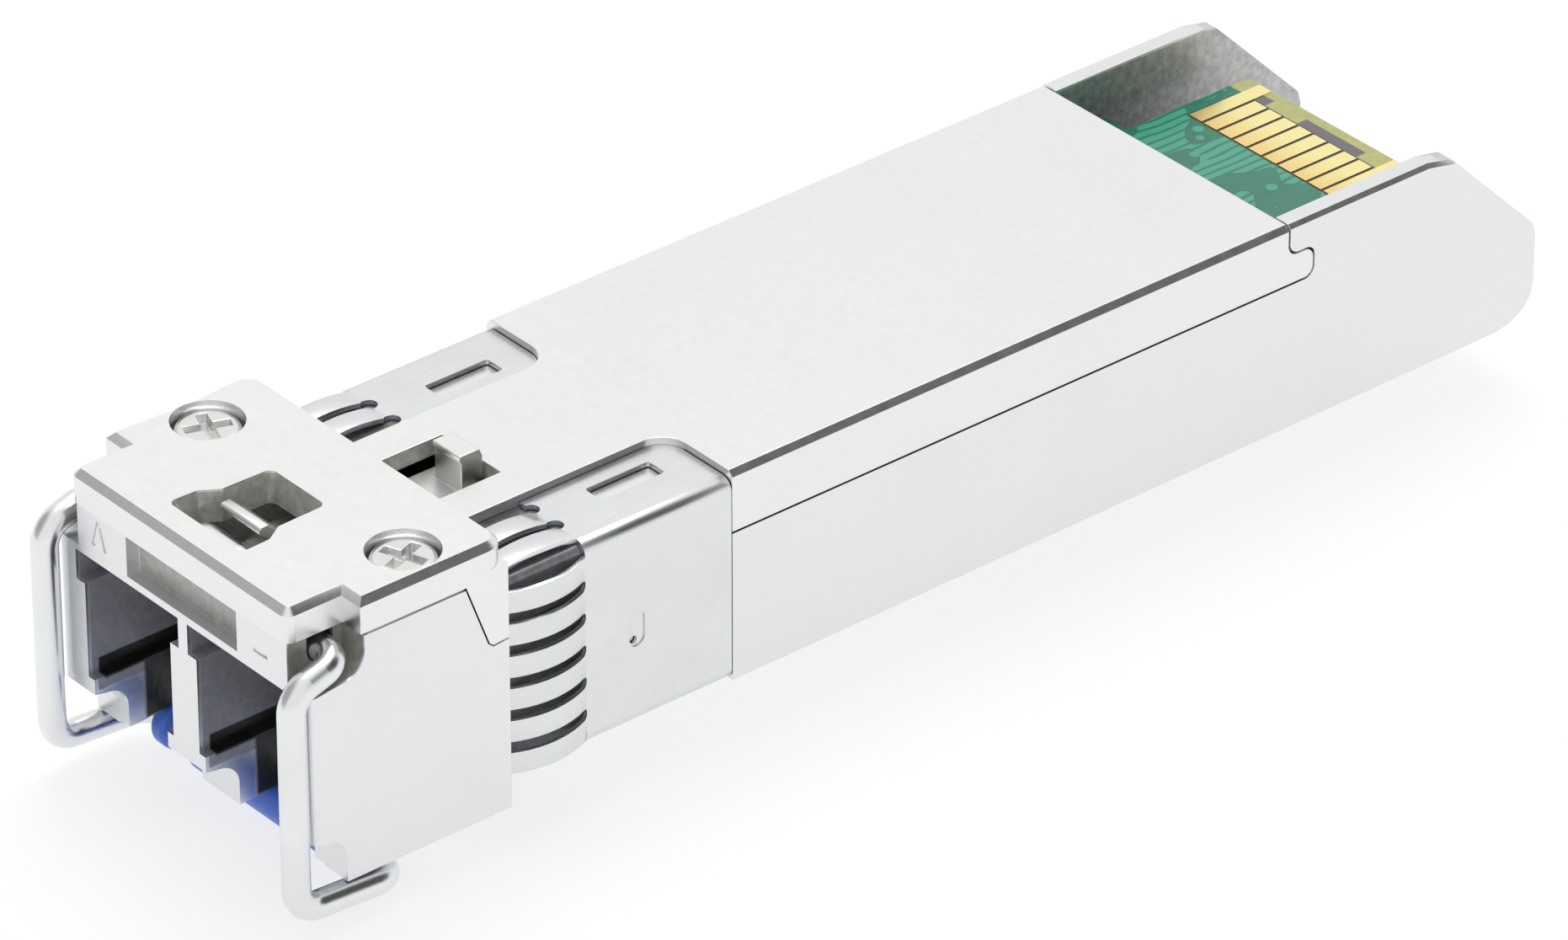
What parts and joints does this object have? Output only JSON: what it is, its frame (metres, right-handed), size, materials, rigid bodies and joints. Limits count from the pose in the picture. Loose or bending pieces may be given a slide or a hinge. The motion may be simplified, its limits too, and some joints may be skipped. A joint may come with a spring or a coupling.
{
  "type": "optical transceiver module",
  "caption": "Pluggable optical transceiver with paired fibre ports, nickel-plated casing, bail latch with plastic grip, spring collar and gold edge contacts.",
  "frame": {"origin": "centre of the footprint, at the level of the bail grip's lowest point", "axes": "+Y from the optical ports to the edge contacts, +Z out of the latch side, +X across the width"},
  "size_m": [0.0146, 0.0575, 0.0124],
  "materials": {
    "nickel_casting": "nickel-plated zinc die casting, fine satin",
    "nickel_cover": "nickel-plated zinc, fine satin",
    "nickel_plate": "nickel-plated zinc, fine satin",
    "nickel_screws": "nickel-plated steel",
    "steel_pin": "ground steel",
    "spring_steel": "drawn spring steel",
    "collar_steel": "stamped stainless spring sheet",
    "bail_steel": "drawn stainless wire",
    "lever_steel": "stamped and coined steel",
    "clamp_steel": "stamped steel",
    "optics_steel": "turned stainless steel",
    "optics_gold": "gold-plated header and cap",
    "zirconia": "polished white ceramic",
    "circuit_board": "green solder mask",
    "gold_contacts": "hard gold plating",
    "chip_black": "moulded epoxy",
    "capacitor_tan": "fired ceramic",
    "ferrite": "ferrite",
    "crystal_can": "plated lid",
    "thermal_pad": "soft silicone",
    "flex_amber": "polyimide film",
    "blue_grip": "moulded blue plastic"
  },
  "bodies": {
    "housing": {"base_housing": "nickel_casting", "top_cover": "nickel_cover", "head_plate": "nickel_plate", "plate_screws": "nickel_screws", "lever_pin": "steel_pin", "latch_spring": "spring_steel", "emi_collar": "collar_steel", "main_board": "circuit_board", "contacts_top": "gold_contacts", "contacts_bottom": "gold_contacts", "laser_driver": "chip_black", "limiting_amplifier": "chip_black", "controller_chip": "chip_black", "chip_capacitors": "capacitor_tan", "chip_resistors": "chip_black", "power_inductors": "ferrite", "clock_crystal": "crystal_can", "thermal_pad": "thermal_pad", "tosa_receptacle": "optics_steel", "tosa_ferrule_sleeve": "zirconia", "tosa_can": "optics_gold", "tosa_flex": "flex_amber", "rosa_receptacle": "optics_steel", "rosa_ferrule_sleeve": "zirconia", "rosa_can": "optics_gold", "rosa_flex": "flex_amber", "osa_clamp": "clamp_steel"},
    "bail": {"bail_wire": "bail_steel", "bail_sleeve": "blue_grip"},
    "latch": {"latch_lever": "lever_steel"}
  },
  "joints": [
    {"name": "bail_hinge", "type": "hinge", "parent": "housing", "child": "bail", "pos_m": [0, -0.0262, 0.0104], "axis": [-1, 0, 0], "range_deg": [0, 90]},
    {"name": "latch_hinge", "type": "hinge", "parent": "housing", "child": "latch", "pos_m": [0, -0.0077, 0.0094], "axis": [1, 0, 0], "range_deg": [0, 4.1], "deforming": ["latch_spring"]}
  ],
  "couplings": [
    {"joint": "latch_hinge", "follows": "bail_hinge", "ratio": 0.045555}
  ]
}
